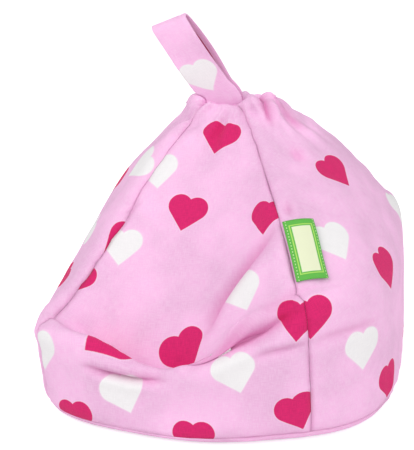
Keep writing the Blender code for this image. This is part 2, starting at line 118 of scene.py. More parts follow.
# Folds pressed into the cloth: line, depth, half width, and the side that bulges over the fold
FOLDS = (
    (((0.0047, -0.1401, 0.0681), (0.0218, -0.1366, 0.0786), (0.0428, -0.1302, 0.0899),
      (0.0590, -0.1249, 0.0993), (0.0725, -0.1219, 0.1084), (0.0813, -0.1192, 0.1135)),
     0.0095, 0.0062, (-0.3, 0.2, 0.9)),
    (((0.0570, -0.1312, 0.0785), (0.0682, -0.1279, 0.0830), (0.0816, -0.1244, 0.0868),
      (0.0938, -0.1186, 0.0892)),
     0.0026, 0.0032, (-0.1, 0.0, 1.0)),
    (((0.0987, -0.1155, 0.0902), (0.1096, -0.1069, 0.0921), (0.1242, -0.0912, 0.0930),
      (0.1387, -0.0658, 0.0915)),
     0.0022, 0.0040, (0.0, 0.0, 1.0)),
    (((-0.0791, -0.1493, 0.0573), (-0.0621, -0.1486, 0.0550), (-0.0438, -0.1469, 0.0525),
      (-0.0189, -0.1453, 0.0528)),
     0.0062, 0.0038, (0.0, 0.0, 1.0)),
    (((0.0872, -0.1045, 0.1276), (0.0746, -0.1150, 0.1193), (0.0572, -0.1183, 0.1090)),
     0.0030, 0.0055, (-0.3, 0.3, 0.9)),
    (((0.0490, -0.0665, 0.1565), (0.0386, -0.0736, 0.1420), (0.0267, -0.0816, 0.1226),
      (0.0151, -0.0909, 0.1029), (0.0066, -0.1020, 0.0842)),
     0.0075, 0.0070, (0.9, -0.3, 0.0)),
    (((0.0475, 0.0142, 0.2077), (0.0536, 0.0109, 0.2037), (0.0590, 0.0070, 0.2000)),
     0.0030, 0.0050, (0.7, 0.3, 0.3)),
    (((0.0566, -0.0443, 0.1775), (0.0637, -0.0561, 0.1709)), 0.0026, 0.0036, (0.9, 0.3, 0.0)),
    (((0.0100, 0.0480, 0.2400), (0.0163, 0.0403, 0.2383), (0.0222, 0.0316, 0.2309),
      (0.0261, 0.0271, 0.2260)),
     0.0060, 0.0034, (1.0, 0.3, 0.0)),
    (((0.0227, 0.0437, 0.2379), (0.0312, 0.0466, 0.2342), (0.0398, 0.0455, 0.2269),
      (0.0505, 0.0434, 0.2183)),
     0.0045, 0.0050, (0.3, 0.9, 0.0)),
)
# How far beside a fold the faces are halved, in half widths
FINE_FOLD_REACH = 2.6

# Round lumps of the gathered top: middle, radius and height
TOP_LUMPS = (
    ((0.0045, 0.0400, 0.2370), 0.0085, 0.0050),
    ((0.0225, 0.0420, 0.2370), 0.0110, 0.0060),
    ((-0.0480, 0.0480, 0.2330), 0.0100, 0.0035),
    ((-0.0150, 0.0640, 0.2370), 0.0110, 0.0040),
)

# The slit of the gathered top, and the pleats that run down from it
SLIT_MIDDLE = (-0.0220, 0.0485, 0.2330)
GATHER_MIDDLE = (-0.012, 0.050)
PLEAT_HEIGHT = 0.0024

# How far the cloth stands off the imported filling, and how deep the beads lie under the cloth
CLOTH_OVER_FILLING = 0.0016
BEADS_BELOW = 0.0024
LEAST_BEADS_BELOW = 0.0020
BEADS_OVER_FLOOR = 0.0012

# The sewn seams
SEAM_GAP = 0.0002
SEAM_HALF_WIDTH = 0.0022
SEAM_SWELL = 0.0009

# The folded strap, which goes into the slit
STRAP_FOOT = (-0.005, 0.050, 0.233)
STRAP_TURN = math.radians(4)
STRAP_THICKNESS = 0.0018
STRAP_LAYER_GAP = 0.0002
STRAP_OPENING = 0.0062
STRAP_FOOT_SUNK = 0.003
# Hearts down the strap: place across it, place along it, turn and tone
STRAP_HEARTS = ((-0.002, 0.034, 0.0, WHITE), (-0.004, 0.112, 2.9, HOT), (0.002, 0.156, 3.3, WHITE))
STRAP_HEART_SHARE = 0.9

TAG_THICKNESS = 0.0008
TAG_CLEARANCE = 0.0006

LAMP_TARGET = (0.0, 0.0, 0.12)


class CushionClothSettings(bpy.types.PropertyGroup):
    """The cotton that the bag and the strap are sewn from"""

    thickness: FloatProperty(
        name="Thickness", description="Thickness of the cotton", default=0.0009, unit="LENGTH"
    )
    seam_sink: FloatProperty(
        name="Seam Sink", description="How deep the cloth turns in at a seam", default=0.0009,
        unit="LENGTH",
    )
    pucker_height: FloatProperty(
        name="Pucker Height", description="Height of the puckers beside a seam", default=0.0011,
        unit="LENGTH",
    )
    lump_height: FloatProperty(
        name="Lump Height", description="Height of the soft lumps that the beads make",
        default=0.0012, unit="LENGTH",
    )
    thread_pitch: FloatProperty(
        name="Thread Pitch", description="Distance between two threads of the weave",
        default=0.0006, unit="LENGTH",
    )
    ground: FloatVectorProperty(
        name="Ground", description="Colour of the unprinted cotton", default=(0.89, 0.48, 0.76),
        subtype="COLOR",
    )
    white: FloatVectorProperty(
        name="White", description="Colour of the pale hearts", default=(0.88, 0.86, 0.87),
        subtype="COLOR",
    )
    hot: FloatVectorProperty(
        name="Hot Pink", description="Colour of the dark hearts", default=(0.72, 0.015, 0.155),
        subtype="COLOR",
    )


class CushionPrintSettings(bpy.types.PropertyGroup):
    """The heart print"""

    heart_width: FloatProperty(
        name="Heart Width", description="Width of a printed heart", default=0.037, unit="LENGTH"
    )
    row_rise: FloatProperty(
        name="Row Rise", description="Distance between two rows of hearts", default=0.038,
        unit="LENGTH",
    )
    column_pitch: FloatProperty(
        name="Column Pitch", description="Distance between hearts of one row", default=0.105,
        unit="LENGTH",
    )
    clear_of_placed: FloatProperty(
        name="Clear of Placed", description="Least distance from a placed heart to one in a row",
        default=0.062, unit="LENGTH",
    )
    plain_above: FloatProperty(
        name="Plain Above", description="Height above which the side and back panels are plain",
        default=0.205, unit="LENGTH",
    )
    right_plain_to: FloatProperty(
        name="Right Plain To", description="How far back the right panel has only placed hearts",
        default=0.062, unit="LENGTH",
    )
    base_reach: FloatProperty(
        name="Base Reach", description="How far from its middle the base shows hearts",
        default=0.105, unit="LENGTH",
    )


class CushionPuffSettings(bpy.types.PropertyGroup):
    """How the filled bag is blown up"""

    pressure: FloatProperty(name="Pressure", description="Pressure of the filling", default=4.0)
    cap: FloatProperty(
        name="Cap", description="Furthest that the cloth may move", default=0.005, unit="LENGTH"
    )
    frames: IntProperty(name="Frames", description="Steps of the simulation", default=20)


class CushionStrapSettings(bpy.types.PropertyGroup):
    """The carrying strap and the tag"""

    strap_width: FloatProperty(
        name="Strap Width", description="Width of the folded strap", default=0.033, unit="LENGTH"
    )
    strap_length: FloatProperty(
        name="Strap Length", description="Length of the loop along its lean", default=0.090,
        unit="LENGTH",
    )
    strap_lean: FloatProperty(
        name="Strap Lean", description="How far the strap leans to the left",
        default=math.radians(35), subtype="ANGLE",
    )
    back_aside: FloatProperty(
        name="Back Aside", description="How far the back layer stands out beside the front one",
        default=0.0022, unit="LENGTH",
    )
    tag_length: FloatProperty(
        name="Tag Length", description="Length of the tag along its seam", default=0.055,
        unit="LENGTH",
    )
    tag_top: FloatProperty(
        name="Tag Top", description="Height of the tag's upper end", default=0.1650, unit="LENGTH"
    )
    tag_width: FloatProperty(
        name="Tag Width", description="How far the tag stands out of its seam", default=0.0255,
        unit="LENGTH",
    )
    tag_green: FloatVectorProperty(
        name="Tag Green", description="Colour of the tag's ribbon", default=(0.11, 0.50, 0.055),
        subtype="COLOR",
    )


class CushionStageSettings(bpy.types.PropertyGroup):
    """The studio round the cushion"""

    camera_place: FloatVectorProperty(
        name="Camera Place", description="Where the camera stands",
        default=(0.2458, -0.8827, 0.4702), subtype="TRANSLATION",
    )
    camera_fall: FloatProperty(
        name="Camera Fall", description="How far the camera looks down", default=math.radians(20),
        subtype="ANGLE",
    )
    camera_turn: FloatProperty(
        name="Camera Turn", description="How far round to the right the camera stands",
        default=math.radians(17), subtype="ANGLE",
    )
    lens: FloatProperty(name="Lens", description="Focal length in millimetres", default=88.0)
    key_power: FloatProperty(name="Key Power", description="Power of the main lamp", default=25.0)
    fill_power: FloatProperty(name="Fill Power", description="Power of the side lamp", default=14.0)
    sky: FloatProperty(name="Sky", description="Strength of the room's light", default=0.50)
    floor_lift: FloatProperty(
        name="Floor Lift", description="How much whiter the floor looks to the camera", default=0.60
    )


class Value:
    """A node's output. Sums on it add Math nodes beside it."""

    def __init__(self, maker, socket):
        self.maker = maker
        self.socket = socket

    def of(self, name):
        return Value(self.maker, self.socket.node.outputs[name])

    def math(self, operation, *others):
        inputs = dict(enumerate((self,) + others))
        return self.maker.node("ShaderNodeMath", {"operation": operation}, inputs)

    def __add__(self, other):
        return self.math("ADD", other)

    __radd__ = __add__

    def __mul__(self, other):
        return self.math("MULTIPLY", other)

    __rmul__ = __mul__

    def __sub__(self, other):
        return self.math("SUBTRACT", other)

    def __rsub__(self, other):
        return self.maker.node("ShaderNodeMath", {"operation": "SUBTRACT"}, {0: other, 1: self})

    def __abs__(self):
        return self.math("ABSOLUTE")

    def smooth(self, start, end):
        """Zero below start, one above end, and smooth between them."""
        settings = {"interpolation_type": "SMOOTHSTEP"}
        return self.maker.node("ShaderNodeMapRange", settings, {0: self, 1: start, 2: end})


class Maker:
    """Adds nodes to one material, or to the room."""

    def __init__(self, owner, shader="Principled BSDF"):
        owner.use_nodes = True
        self.owner = owner
        self.tree = owner.node_tree
        self.shader = self.tree.nodes[shader]

    def node(self, kind, settings=None, inputs=None, output=0):
        made = self.tree.nodes.new(kind)
        for name, value in (settings or {}).items():
            setattr(made, name, value)
        for key, value in (inputs or {}).items():
            self.join(value, made.inputs[key])
        return Value(self, made.outputs[output])

    def join(self, value, target):
        if isinstance(value, Value):
            self.tree.links.new(value.socket, target)
        else:
            target.default_value = value

    def set(self, **inputs):
        for name, value in inputs.items():
            self.join(value, self.shader.inputs[name.replace("_", " ")])

    def mix(self, factor, first, second, blend="MIX"):
        settings = {"data_type": "RGBA", "blend_type": blend}
        inputs = {0: factor, 6: colour_of(first), 7: colour_of(second)}
        return self.node("ShaderNodeMix", settings, inputs, 2)

    # Multiplies a share of the second colour into the first: painted shade on the printed cotton,
    # and a weave tint on the strap's inner side.
    def multiply_mix(self, factor, first, second):
        return self.mix(factor, first, second, "MULTIPLY")

    def attribute(self, name, output="Vector"):
        return self.node("ShaderNodeAttribute", {"attribute_name": name}, output=output)

    def cloth_place(self):
        return self.node("ShaderNodeUVMap", {"uv_map": "cloth"})

    def split(self, vector):
        return self.node("ShaderNodeSeparateXYZ", None, {0: vector})

    def noise(self, vector, scale, detail=2.0):
        inputs = {"Vector": vector, "Scale": scale, "Detail": detail}
        return self.node("ShaderNodeTexNoise", None, inputs)

    def place(self):
        return self.node("ShaderNodeTexCoord", output="Object")

    def bump(self, height, distance, strength=1.0, under=None):
        inputs = {"Height": height, "Distance": distance, "Strength": strength}
        if under is not None:
            inputs["Normal"] = under
        return self.node("ShaderNodeBump", None, inputs)


def new_finish(name):
    return Maker(bpy.data.materials.new(name))


def colour_of(value):
    if isinstance(value, Value):
        return value
    return tuple(value)[:3] + (1.0,)


def toned(colour, share, lift=0.0):
    """A share of a colour, with a lift that is added to each of its parts."""
    return tuple(min(1.0, share * part + lift) for part in colour)


def heart_distance(x, y):
    """How far a place is outside a heart with its tip at the origin and its cleft one above."""
    side = abs(x)
    total = side + y
    lobe_x = side - LOBE_ACROSS
    lobe_y = y - LOBE_UP
    lobe = (lobe_x * lobe_x + lobe_y * lobe_y).math("SQRT") - LOBE_RADIUS
    above = y - 1.0
    cleft = side * side + above * above
    along = total.math("MAXIMUM", 0.0) * 0.5
    off_x = side - along
    off_y = y - along
    edge = (off_x * off_x + off_y * off_y).math("MINIMUM", cleft).math("SQRT")
    edge = edge * (side - y).math("SIGN")
    top = total.math("GREATER_THAN", 1.0)
    return lobe * top + edge * (1.0 - top)


def heart_distance_of(x, y):
    """The same distance worked out on arrays."""
    side = np.abs(x)
    lobe = np.hypot(side - LOBE_ACROSS, y - LOBE_UP) - LOBE_RADIUS
    along = np.maximum(side + y, 0.0) * 0.5
    edge = np.sqrt(np.minimum(side**2 + (y - 1.0) ** 2, (side - along) ** 2 + (y - along) ** 2))
    return np.where(side + y > 1.0, lobe, edge * np.sign(side - y))


def in_heart(x, y, cosine, sine, unit):
    """A place beside a turned heart's middle, in the heart's own units from its tip."""
    return (x * cosine + y * sine) / unit, (y * cosine - x * sine) / unit + HEART_MIDDLE


def weave_height(maker, cloth, pitch):
    """Over and under threads of a plain weave."""
    turn = math.tau / (2 * pitch)
    across = maker.split(cloth)
    warp = (across * turn).math("SINE")
    weft = (across.of("Y") * turn).math("SINE")
    return abs(warp * weft)


def printed_cotton(name, settings):
    """Matt cotton printed with hearts, with painted shade in its folds and along its seams. The
    print and the weave lie in the cloth's own places.
    """
    maker = new_finish(name)
    cloth = maker.cloth_place()
    heart = maker.split(maker.attribute("print_place"))
    far = heart_distance(heart, heart.of("Y"))
    blur = maker.noise(cloth, 900.0) * 0.012 - 0.006
    inside = 1.0 - (far + blur).smooth(-0.010, 0.012)
    halo = (1.0 - (far + blur).smooth(0.012, 0.05)) * 0.35
    tone = heart.of("Z")
    body = maker.place()
    mottle = maker.noise(body, 22.0, 3.0)
    threads, crossing = (
        maker.noise(maker.node("ShaderNodeMapping", None, {"Vector": cloth, "Scale": scale}), 1.0)
        for scale in ((1800.0, 160.0, 1.0), (160.0, 1800.0, 1.0))
    )
    weave = weave_height(maker, cloth, settings.thread_pitch)
    pink = settings.ground
    ground = maker.mix(mottle.smooth(0.3, 0.7), toned(pink, 0.88), toned(pink, 1.05))
    slub = (threads + crossing) * 0.5
    ground = maker.mix(slub.smooth(0.35, 0.65) * 0.35, ground, toned(pink, 0.5, 0.5))
    ground = maker.mix(halo, ground, (0.90, 0.72, 0.83))
    hot = maker.mix(slub.smooth(0.35, 0.7), settings.hot, toned(settings.hot, 0.8))
    pale = maker.mix(slub.smooth(0.3, 0.7), settings.white, toned(settings.white, 0.94))
    ink = maker.mix(tone, pale, hot)
    # Painted shade: the fold_shade attribute darkens the dyed colour in folds and seam grooves,
    # where shade falls.
    shade = maker.attribute("fold_shade", "Fac")
    dyed = maker.mix(inside, ground, ink)
    maker.set(Base_Color=maker.multiply_mix(shade * 0.85, dyed, (0.80, 0.40, 0.60)))
    maker.set(Roughness=0.82 + weave * 0.12)
    fine = maker.bump(weave + slub * 0.5, 0.00012, 0.6)
    maker.set(Normal=maker.bump(maker.noise(body, 160.0, 3.0), 0.0003, 0.35, fine))
    maker.set(Sheen_Weight=0.05, Sheen_Roughness=0.6, Specular_IOR_Level=0.25)
    return maker.owner


def bead_filling_finish():
    """Matt white beads that lie close together."""
    maker = new_finish("white_beads")
    body = maker.place()
    cells = maker.node("ShaderNodeTexVoronoi", None, {"Vector": body, "Scale": 380.0})
    shade = cells.of("Distance")
    maker.set(Base_Color=maker.mix(shade.smooth(0.3, 0.8), (0.88, 0.87, 0.85), (0.70, 0.69, 0.67)))
    maker.set(Roughness=0.7, Normal=maker.bump(1.0 - shade, 0.0012))
    return maker.owner


def tag_ribbon(settings):
    """Woven green ribbon with a plain pale field and a stitched edge."""
    maker = new_finish("tag_ribbon")
    cloth = maker.cloth_place()
    spot = maker.split(cloth)
    half_width = settings.tag_width * 0.5
    half_length = settings.tag_length * 0.5
    across = abs(spot - settings.tag_width * 0.52)
    down = abs(spot.of("Y") - half_length)
    beside = across - (half_width - 0.0052)
    outside = beside.math("MAXIMUM", down - (half_length - 0.0068))
    field = 1.0 - outside.smooth(-0.0003, 0.0003)
    line = outside.smooth(0.0009, 0.0012) * (1.0 - outside.smooth(0.0018, 0.0021))
    weave = weave_height(maker, cloth, 0.0005)
    green = maker.mix(weave, settings.tag_green, toned(settings.tag_green, 0.8))
    bright = maker.mix(line, green, (0.42, 0.72, 0.12))
    stitch = (spot.of("Y") * (math.tau / 0.0028)).math("SINE").smooth(0.0, 0.25)
    edge = abs(across - (half_width - 0.0016)).math("LESS_THAN", 0.00035) * stitch
    bright = maker.mix(edge, bright, (0.55, 0.80, 0.35))
    maker.set(Base_Color=maker.mix(field, bright, (0.82, 0.86, 0.60)), Roughness=0.5 + weave * 0.15)
    maker.set(Normal=maker.bump(weave + edge * 2.0, 0.00012))
    return maker.owner


def joined(item, node):
    """Puts a finished piece on the cushion's one body, in the place of its CAD node."""
    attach(item, "root")
    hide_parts(node)


def new_item(name, mesh):
    item = bpy.data.objects.new(name, mesh)
    bpy.context.scene.collection.objects.link(item)
    return item


def smooth_shaded(mesh):
    mesh.polygons.foreach_set("use_smooth", [True] * len(mesh.polygons))
    mesh.update()


def node_tree_of(name):
    work = bmesh.new()
    work.from_mesh(frame["nodes"][name].data)
    tree = BVHTree.FromBMesh(work)
    work.free()
    return tree


def points_of(mesh):
    flat = np.empty(len(mesh.vertices) * 3)
    mesh.vertices.foreach_get("co", flat)
    return flat.reshape(-1, 3)


def normals_of(mesh):
    flat = np.empty(len(mesh.vertices) * 3)
    mesh.vertex_normals.foreach_get("vector", flat)
    return flat.reshape(-1, 3)


def set_points(mesh, points):
    mesh.vertices.foreach_set("co", np.ascontiguousarray(points).ravel())
    mesh.update()


def smoothstep(start, end, value):
    share = np.clip((value - start) / (end - start), 0.0, 1.0)
    return share * share * (3 - 2 * share)


def bag_mesh():
    """The bag's outer surface from the settled filling. A face's material index is its panel."""
    work = bmesh.new()
    work.from_mesh(frame["nodes"]["bean_filling"].data)
    bmesh.ops.remove_doubles(work, verts=work.verts, dist=2e-5)
    work.normal_update()
    trees = [node_tree_of(name) for name in PANEL_NAMES]
    for face in work.faces:
        middle = face.calc_center_median()
        away = [tree.find_nearest(middle)[3] for tree in trees]
        nearest = int(np.argmin(away))
        open_slit = away[nearest] > 0.0008 and middle.z > 0.22
        face.material_index = SLIT_SLOT if open_slit else nearest
    bmesh.ops.join_triangles(
        work, faces=work.faces[:], cmp_materials=True,
        angle_face_threshold=math.radians(50), angle_shape_threshold=math.radians(80),
    )
    work.normal_update()
    moved = [(vert, vert.co + vert.normal * CLOTH_OVER_FILLING) for vert in work.verts]
    for vert, place in moved:
        vert.co = place
    mesh = bpy.data.meshes.new("bag_form")
    work.to_mesh(mesh)
    work.free()
    return mesh


def subdivided(mesh):
    item = new_item("subdividing", mesh)
    smooth = item.modifiers.new("Smooth", "SUBSURF")
    smooth.levels = 1
    smooth.render_levels = 1
    graph = bpy.context.evaluated_depsgraph_get()
    result = bpy.data.meshes.new_from_object(item.evaluated_get(graph))
    bpy.data.objects.remove(item)
    return result


def held_share(points):
    """How firmly each place is held while the bag is blown up: the flat base and the slit are."""
    base = 1.0 - smoothstep(0.002, 0.010, points[:, 2])
    away = np.linalg.norm(points - np.array(SLIT_MIDDLE), axis=1)
    return np.maximum(base, 1.0 - smoothstep(0.020, 0.035, away))


def puffed(mesh, settings):
    """Blows the bag up as cloth, and caps how far each place may move."""
    before = points_of(mesh)
    held = held_share(before)
    item = new_item("bag_form", mesh)
    group = item.vertex_groups.new(name="held")
    for index in np.flatnonzero(held > 0.02):
        group.add([int(index)], float(held[index]), "REPLACE")
    cloth = item.modifiers.new("Cloth", "CLOTH")
    cloth.settings.quality = 5
    cloth.settings.mass = 0.2
    cloth.settings.tension_stiffness = 15
    cloth.settings.compression_stiffness = 8
    cloth.settings.bending_stiffness = 0.4
    cloth.settings.use_pressure = True
    cloth.settings.uniform_pressure_force = settings.pressure
    cloth.settings.vertex_group_mass = "held"
    cloth.settings.effector_weights.gravity = 0
    cloth.collision_settings.use_collision = False
    cloth.point_cache.frame_end = settings.frames
    scene = bpy.context.scene
    for step in range(1, settings.frames + 1):
        scene.frame_set(step)
    graph = bpy.context.evaluated_depsgraph_get()
    result = bpy.data.meshes.new_from_object(item.evaluated_get(graph))
    bpy.data.objects.remove(item)
    scene.frame_set(1)
    move = points_of(result) - before
    size = np.linalg.norm(move, axis=1, keepdims=True) + 1e-9
    capped = move / size * settings.cap * np.tanh(size / settings.cap)
    set_points(result, before + capped * (1.0 - held)[:, None])
    return result


def seam_places(mesh):
    """For each vertex, how far it is from the nearest seam and where on that seam."""
    work = bmesh.new()
    work.from_mesh(mesh)
    seam = []
    for edge in work.edges:
        slots = {face.material_index for face in edge.link_faces}
        if len(slots) > 1:
            first, second = (vert.co for vert in edge.verts)
            seam += [first.lerp(second, share) for share in (0.0, 0.5)]
    work.free()
    tree = KDTree(len(seam))
    for index, place in enumerate(seam):
        tree.insert(place, index)
    tree.balance()
    found = [tree.find(vert.co) for vert in mesh.vertices]
    return np.array([hit[2] for hit in found]), [hit[0] for hit in found]


def line_distance(points, line, bank=(0, 0, 1)):
    """Distance to a line of points, share of the way along it, and side of it from -1 to 1."""
    line = np.array(line)
    steps = np.linalg.norm(np.diff(line, axis=0), axis=1)
    run = np.concatenate([[0.0], np.cumsum(steps)])
    best = np.full(len(points), np.inf)
    along = np.zeros(len(points))
    side = np.zeros(len(points))
    for index, step in enumerate(steps):
        way = (line[index + 1] - line[index]) / step
        share = np.clip((points - line[index]) @ way, 0.0, step)
        offset = points - (line[index] + share[:, None] * way)
        away = np.linalg.norm(offset, axis=1)
        nearer = away < best
        best[nearer] = away[nearer]
        along[nearer] = (run[index] + share[nearer]) / run[-1]
        lean = (offset[nearer] @ np.array(bank)) / (away[nearer] * np.linalg.norm(bank) + 1e-9)
        side[nearer] = np.clip(1.8 * lean, -1.0, 1.0)
    return best, along, side


def folded(points, normals):
    """The named folds, how much shade is painted on each place in them, and how deep the filling is
    dented there.

    A fold is a valley with one side that bulges and slides over it.
    """
    move = np.zeros_like(points)
    shade = np.zeros(len(points))
    dent = np.zeros(len(points))
    for line, depth, width, bank in FOLDS:
        away, along, side = line_distance(points, line, bank)
        reach = away / width
        across = np.sign(side) * reach
        lean = np.abs(side)
        fade = np.sin(np.pi * np.clip(0.04 + 0.92 * along, 0.0, 1.0)) ** 0.6
        taper = depth * fade
        valley = np.exp(-(reach**2))
        bulge = 0.50 * np.exp(-((across - 2.0) ** 2)) + 0.20 * np.exp(-((across + 2.2) ** 2))
        bulge *= lean
        slide = 0.45 * lean * np.exp(-(((across - 1.1) / 0.8) ** 2))
        way = np.array(bank) / np.linalg.norm(bank)
        way = way - normals * (normals @ way)[:, None]
        move += (taper * (bulge - valley))[:, None] * normals - (taper * slide)[:, None] * way
        # Painted shade: darkest on the bulging side just over the valley, where the fold's shade
        # falls.
        dark = np.exp(-(reach**2 - 0.7 * side * reach + 0.12) / 1.2)
        shade = np.maximum(shade, dark * fade * min(1.0, depth / 0.0070))
        dent += 0.7 * taper * np.exp(-((reach / 1.8) ** 2))
    return move, shade, dent


def refined(mesh):
    """Halves the faces beside the named folds."""
    points = points_of(mesh)
    near = np.zeros(len(points), dtype=bool)
    for line, _, width, _ in FOLDS:
        near |= line_distance(points, line)[0] < FINE_FOLD_REACH * width
    work = bmesh.new()
    work.from_mesh(mesh)
    edges = [edge for edge in work.edges if all(near[vert.index] for vert in edge.verts)]
    bmesh.ops.subdivide_edges(work, edges=edges, cuts=1, use_grid_fill=True, smooth=0.5)
    work.to_mesh(mesh)
    work.free()
    return mesh


def gathered(points):
    """Pleats that run down from the slit and fade into the roof."""
    flat = points[:, :2] - np.array(GATHER_MIDDLE)
    angle = np.arctan2(flat[:, 1] / 0.7, flat[:, 0])
    radius = np.hypot(flat[:, 0], flat[:, 1] / 0.7)
    pleat = 0.6 * np.cos(13 * angle + 1.0) + 0.4 * np.cos(21 * angle + 2.2)
    fade = smoothstep(0.015, 0.030, radius) * (1.0 - smoothstep(0.045, 0.110, radius))
    return PLEAT_HEIGHT * pleat * fade * smoothstep(0.150, 0.215, points[:, 2])


def lumps(places, size, seed):
    shift = Vector((seed, 2 * seed, 3 * seed))
    return np.array([noise.noise(Vector(place) / size + shift) for place in places])


def sculpted(mesh, settings):
    """Places of the sewn cloth, how much shade is painted on it in folds and seams, and places of
    the filling.
    """
    points = points_of(mesh)
    normals = normals_of(mesh)
    away, on_seam = seam_places(mesh)
    groove = np.exp(-((away / SEAM_HALF_WIDTH) ** 2))
    pucker = lumps(on_seam, 0.011, 3.0) * (np.exp(-away / 0.016) - groove)
    swell = SEAM_SWELL * np.exp(-(((away - 0.010) / 0.008) ** 2))
    above = smoothstep(0.002, 0.012, points[:, 2])
    move = (pucker * 2.2 * settings.pucker_height + swell) * above
    soft = lumps(points, 0.045, 7.0) * 2.0 * settings.lump_height
    move += soft * above * (1 - np.exp(-away / 0.02))
    move += gathered(points)
    for middle, radius, height in TOP_LUMPS:
        away_from = np.linalg.norm(points - np.array(middle), axis=1)
        move += height * np.exp(-((away_from / radius) ** 2))
    move -= settings.seam_sink * groove * (0.35 + 0.65 * above)
    fold, shade, dent = folded(points, normals)
    plain = points + normals * move[:, None]
    result = plain + fold
    result[:, 2] = np.maximum(result[:, 2], 0.0)
    beads = plain - normals * (BEADS_BELOW + dent)[:, None]
    beads[:, 2] = np.maximum(beads[:, 2], BEADS_OVER_FLOOR)
    # Painted shade also darkens the seams' grooves.
    return result, np.maximum(shade, 0.25 * groove * above), beads


def one_panel(mesh, index):
    """The faces of one panel, as a mesh of their own."""
    work = bmesh.new()
    work.from_mesh(mesh)
    others = [face for face in work.faces if face.material_index != index]
    bmesh.ops.delete(work, geom=others, context="FACES")
    for face in work.faces:
        face.material_index = 0
    panel = bpy.data.meshes.new(PANEL_NAMES[index])
    work.to_mesh(panel)
    work.free()
    return panel


def unwrap(item):
    """Lays the panel flat in its UV map, as it was before sewing."""
    item.data.uv_layers.new(name="cloth")
    for other in bpy.context.selected_objects:
        other.select_set(False)
    item.select_set(True)
    bpy.context.view_layer.objects.active = item
    bpy.ops.object.mode_set(mode="EDIT")
    bpy.ops.mesh.select_all(action="SELECT")
    bpy.ops.uv.unwrap(method="ANGLE_BASED", fill_holes=True, margin=0.0)
    bpy.ops.object.mode_set(mode="OBJECT")


class FlatPanel:
    """A panel's faces in the cloth's own flat places, in metres, with the grain upright."""

    def __init__(self, mesh, anchor, upright):
        self.mesh = mesh
        count = len(mesh.loops)
        self.corner_vert = np.empty(count, dtype=int)
        mesh.loops.foreach_get("vertex_index", self.corner_vert)
        self.start = np.empty(len(mesh.polygons), dtype=int)
        self.total = np.empty(len(mesh.polygons), dtype=int)
        mesh.polygons.foreach_get("loop_start", self.start)
        mesh.polygons.foreach_get("loop_total", self.total)
        self.face_of_corner = np.repeat(np.arange(len(self.start)), self.total)
        centres = np.empty(len(mesh.polygons) * 3)
        mesh.polygons.foreach_get("center", centres)
        self.centres = centres.reshape(-1, 3)
        flat = np.empty(count * 2)
        mesh.uv_layers["cloth"].uv.foreach_get("vector", flat)
        self.flat = flat.reshape(-1, 2)
        self.points = points_of(mesh)
        self.scale_to_metres()
        face = self.nearest(anchor)
        up = self.slope(face) @ np.array(upright)
        turn = math.atan2(up[0], up[1])
        self.flat = self.flat @ rotation(turn).T
        self.flat -= self.middle(self.nearest(anchor))
        mesh.uv_layers["cloth"].uv.foreach_set("vector", self.flat.ravel())

    def scale_to_metres(self):
        areas = np.empty(len(self.start))
        self.mesh.polygons.foreach_get("area", areas)
        ahead = self.flat[self.next_corner()]
        cross = self.flat[:, 0] * ahead[:, 1] - self.flat[:, 1] * ahead[:, 0]
        self.flat = self.flat * math.sqrt(areas.sum() / abs(cross.sum() / 2))

    def next_corner(self):
        ahead = np.arange(len(self.flat)) + 1
        ahead[self.start + self.total - 1] = self.start
        return ahead

    def nearest(self, place):
        return int(np.argmin(np.linalg.norm(self.centres - np.array(place), axis=1)))

    def place_at(self, middle):
        """Middle of the face that lies nearest to a place on the flat cloth."""
        away = np.linalg.norm(self.flat - middle, axis=1)
        return self.centres[self.face_of_corner[np.argmin(away)]]

    def corners(self, face):
        return slice(self.start[face], self.start[face] + self.total[face])

    def middle(self, face):
        return self.flat[self.corners(face)].mean(axis=0)

    def slope(self, face):
        """How a step in space moves across the flat cloth at one face."""
        span = self.corners(face)
        solid = self.points[self.corner_vert[span]]
        flat = self.flat[span]
        solid = solid - solid.mean(axis=0)
        return np.linalg.lstsq(solid, flat - flat.mean(axis=0), rcond=0.15)[0].T

    def placed(self, place, tip_way, lead):
        """A heart's middle and turn on the flat cloth, from a place and a way in space."""
        face = self.nearest(place)
        slope = self.slope(face)
        way = slope @ np.array(tip_way)
        middle = self.middle(face) + slope @ (np.array(place) - self.centres[face])
        middle -= way / np.linalg.norm(way) * lead
        return middle, math.atan2(way[0], -way[1])


def rotation(angle):
    return np.array([[math.cos(angle), -math.sin(angle)], [math.sin(angle), math.cos(angle)]])


def heart_list(name, panel, settings):
    """Middle, turn and tone of every heart on the panel: the placed ones, and rows of others."""
    hearts = []
    for owner, tone, place, way, lead in PLACED_HEARTS:
        if owner == name:
            middle, turn = panel.placed(place, way, lead)
            hearts.append((middle[0], middle[1], turn, tone))
    low = panel.flat.min(axis=0) - 0.03
    high = panel.flat.max(axis=0) + 0.03
    placed = np.array([heart[:2] for heart in hearts]).reshape(-1, 2)
    rows = math.floor(low[1] / settings.row_rise), math.ceil(high[1] / settings.row_rise)
    for row in range(*rows):
        shift = 0.5 * (row % 2) + 0.18 * (row // 2 % 2)
        first = math.floor(low[0] / settings.column_pitch) - 1
        for column in range(first, math.ceil(high[0] / settings.column_pitch) + 1):
            middle = np.array([(column + shift) * settings.column_pitch, row * settings.row_rise])
            away = np.linalg.norm(placed - middle, axis=1)
            if away.min(initial=np.inf) < settings.clear_of_placed:
                continue
            if name == "base_panel" and np.linalg.norm(middle) > settings.base_reach:
                continue
            place = panel.place_at(middle)
            if name != "front_panel" and place[2] > settings.plain_above:
                continue
            if name == "right_side_panel" and place[1] < settings.right_plain_to:
                continue
            turn = 0.16 * math.sin(2.7 * row + 1.9 * column)
            hearts.append((middle[0], middle[1], turn, float(row % 2)))
    return np.array(hearts)


